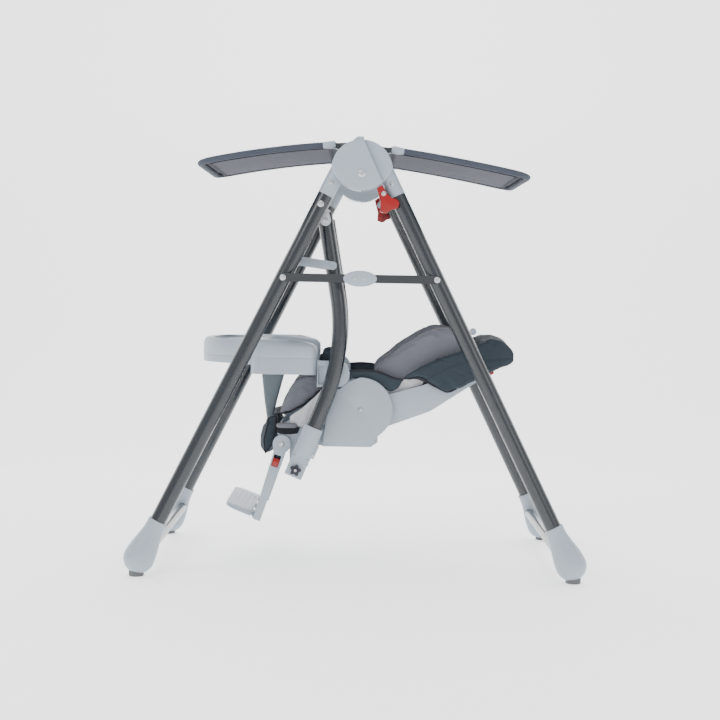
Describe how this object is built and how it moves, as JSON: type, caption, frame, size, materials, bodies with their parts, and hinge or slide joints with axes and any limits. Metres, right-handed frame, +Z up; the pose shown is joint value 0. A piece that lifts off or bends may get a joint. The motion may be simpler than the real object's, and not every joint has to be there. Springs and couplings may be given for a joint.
{
  "type": "baby swing",
  "caption": "Folding A-frame baby swing: a reclining padded seat with tray, crotch post and footrest hangs on curved arms under a two-wing fabric canopy.",
  "frame": {"origin": "on the floor, midway between the four feet", "axes": "+X towards the seated child's left, +Y from the tray end to the head end, +Z up"},
  "size_m": [0.6894, 1.0972, 1.045],
  "materials": {
    "tube_paint": "gloss dark slate powder coat",
    "light_plastic": "satin light cool grey moulding",
    "steel": "zinc plated",
    "red_plastic": "gloss red",
    "stay_paint": "satin slate paint",
    "knob_plastic": "near-black navy",
    "foot_rubber": "grey rubber",
    "purple_fabric": "brushed purple-grey knit",
    "slate_fabric": "dark slate woven cloth",
    "canopy_fabric": "grey-blue woven cloth"
  },
  "bodies": {
    "front_frame": {"left_front_leg_upper": "tube_paint", "left_front_leg_lower": "tube_paint", "left_front_hub": "light_plastic", "left_front_foot": "light_plastic", "right_front_leg_upper": "tube_paint", "right_front_leg_lower": "tube_paint", "right_front_hub": "light_plastic", "right_front_foot": "light_plastic", "front_foot_pads": "foot_rubber", "front_floor_bar": "tube_paint", "front_bolts": "steel"},
    "rear_frame": {"left_rear_leg_upper": "tube_paint", "left_rear_leg_lower": "tube_paint", "left_rear_hub": "light_plastic", "left_rear_foot": "light_plastic", "right_rear_leg_upper": "tube_paint", "right_rear_leg_lower": "tube_paint", "right_rear_hub": "light_plastic", "right_rear_foot": "light_plastic", "rear_foot_pads": "foot_rubber", "rear_floor_bar": "tube_paint", "rear_bolts": "steel"},
    "left_latch": {"left_fold_latch": "red_plastic"},
    "right_latch": {"right_fold_latch": "red_plastic"},
    "front_stays": {"left_front_stay": "stay_paint", "right_front_stay": "stay_paint", "stay_plates": "light_plastic"},
    "rear_stays": {"left_rear_stay": "stay_paint", "right_rear_stay": "stay_paint"},
    "left_hook": {"left_lock_hook": "light_plastic"},
    "right_hook": {"right_lock_hook": "light_plastic"},
    "swing": {"left_swing_arm": "tube_paint", "right_swing_arm": "tube_paint", "arm_hangers": "steel", "seat_bolts": "steel", "left_arm_socket": "light_plastic", "right_arm_socket": "light_plastic", "seat_shell": "light_plastic", "left_side_cover": "light_plastic", "right_side_cover": "light_plastic", "armrests": "light_plastic", "seat_pad": "purple_fabric", "side_bands": "slate_fabric", "calf_flap": "slate_fabric"},
    "left_knob": {"left_star_knob": "knob_plastic"},
    "right_knob": {"right_star_knob": "knob_plastic"},
    "backrest": {"backrest_shell": "light_plastic", "backrest_pad": "purple_fabric", "head_cover": "slate_fabric"},
    "lever": {"recline_lever": "red_plastic"},
    "tray": {"tray_base": "light_plastic", "tray_top": "light_plastic", "crotch_post": "light_plastic"},
    "footrest": {"footrest_frame": "light_plastic"},
    "footplate": {"foot_plate": "light_plastic"},
    "buttons": {"footrest_buttons": "red_plastic"},
    "front_canopy": {"front_canopy_frame": "tube_paint", "front_canopy_fabric": "canopy_fabric"},
    "rear_canopy": {"rear_canopy_frame": "tube_paint", "rear_canopy_fabric": "canopy_fabric"}
  },
  "joints": [
    {"name": "frame_fold", "type": "hinge", "parent": "front_frame", "child": "rear_frame", "pos_m": [0, 0, 0.958], "axis": [-1, 0, 0], "range_deg": [0, 40]},
    {"name": "front_stay_fold", "type": "hinge", "parent": "front_frame", "child": "front_stays", "pos_m": [0, -0.18192, 0.711], "axis": [1, 0, 0], "range_deg": [0, 41.8]},
    {"name": "rear_stay_fold", "type": "hinge", "parent": "rear_frame", "child": "rear_stays", "pos_m": [0, 0.18192, 0.711], "axis": [-1, 0, 0], "range_deg": [0, 41.8]},
    {"name": "left_latch_press", "type": "hinge", "parent": "rear_frame", "child": "left_latch", "pos_m": [0, 0.052, 0.912], "axis": [1, 0, 0], "range_deg": [0, 15], "stiffness_Nm_per_rad": 0.5, "springref_deg": -11.46},
    {"name": "right_latch_press", "type": "hinge", "parent": "rear_frame", "child": "right_latch", "pos_m": [0, 0.052, 0.912], "axis": [1, 0, 0], "range_deg": [0, 15], "stiffness_Nm_per_rad": 0.5, "springref_deg": -11.46},
    {"name": "swing", "type": "hinge", "parent": "front_frame", "child": "swing", "pos_m": [0, -0.09567, 0.886], "axis": [-1, 0, 0], "range_deg": [-18, 18]},
    {"name": "left_hook_lift", "type": "hinge", "parent": "front_frame", "child": "left_hook", "pos_m": [0, -0.16073, 0.754], "axis": [1, 0, 0], "range_deg": [0, 60]},
    {"name": "right_hook_lift", "type": "hinge", "parent": "front_frame", "child": "right_hook", "pos_m": [0, -0.16073, 0.754], "axis": [1, 0, 0], "range_deg": [0, 60]},
    {"name": "backrest_recline", "type": "hinge", "parent": "swing", "child": "backrest", "pos_m": [0, 0.007, 0.393], "axis": [1, 0, 0], "range_deg": [0, 40]},
    {"name": "recline_lever_pull", "type": "hinge", "parent": "backrest", "child": "lever", "pos_m": [0, 0.322, 0.48], "axis": [1, 0, 0], "range_deg": [0, 18], "stiffness_Nm_per_rad": 0.6, "springref_deg": -11.46},
    {"name": "tray_slide", "type": "slide", "parent": "swing", "child": "tray", "axis": [0, -1, 0], "range_m": [0, 0.04]},
    {"name": "footrest_lift", "type": "hinge", "parent": "swing", "child": "footrest", "pos_m": [0, -0.184, 0.305], "axis": [-1, 0, 0], "range_deg": [0, 70]},
    {"name": "foot_plate_fold", "type": "hinge", "parent": "footrest", "child": "footplate", "pos_m": [0, -0.24682, 0.12369], "axis": [-1, 0, 0], "range_deg": [0, 60]},
    {"name": "footrest_button_slide", "type": "slide", "parent": "footrest", "child": "buttons", "axis": [0, 0.299, 0.9542], "range_m": [0, 0.006], "stiffness_N_per_m": 200, "springref_m": -0.002},
    {"name": "front_canopy_tilt", "type": "hinge", "parent": "front_frame", "child": "front_canopy", "pos_m": [0, -0.04, 1.018], "axis": [-1, 0, 0], "range_deg": [0, 45]},
    {"name": "rear_canopy_tilt", "type": "hinge", "parent": "rear_frame", "child": "rear_canopy", "pos_m": [0, 0.044, 1.014], "axis": [1, 0, 0], "range_deg": [0, 45]},
    {"name": "left_knob_turn", "type": "hinge", "parent": "swing", "child": "left_knob", "pos_m": [0.222, -0.14775, 0.24739], "axis": [1, 0, 0], "continuous": true},
    {"name": "right_knob_turn", "type": "hinge", "parent": "swing", "child": "right_knob", "pos_m": [-0.222, -0.14775, 0.24739], "axis": [1, 0, 0], "continuous": true}
  ],
  "couplings": [
    {"joint": "front_stay_fold", "follows": "frame_fold", "ratio": 1.0405},
    {"joint": "rear_stay_fold", "follows": "frame_fold", "ratio": 1.0405}
  ]
}
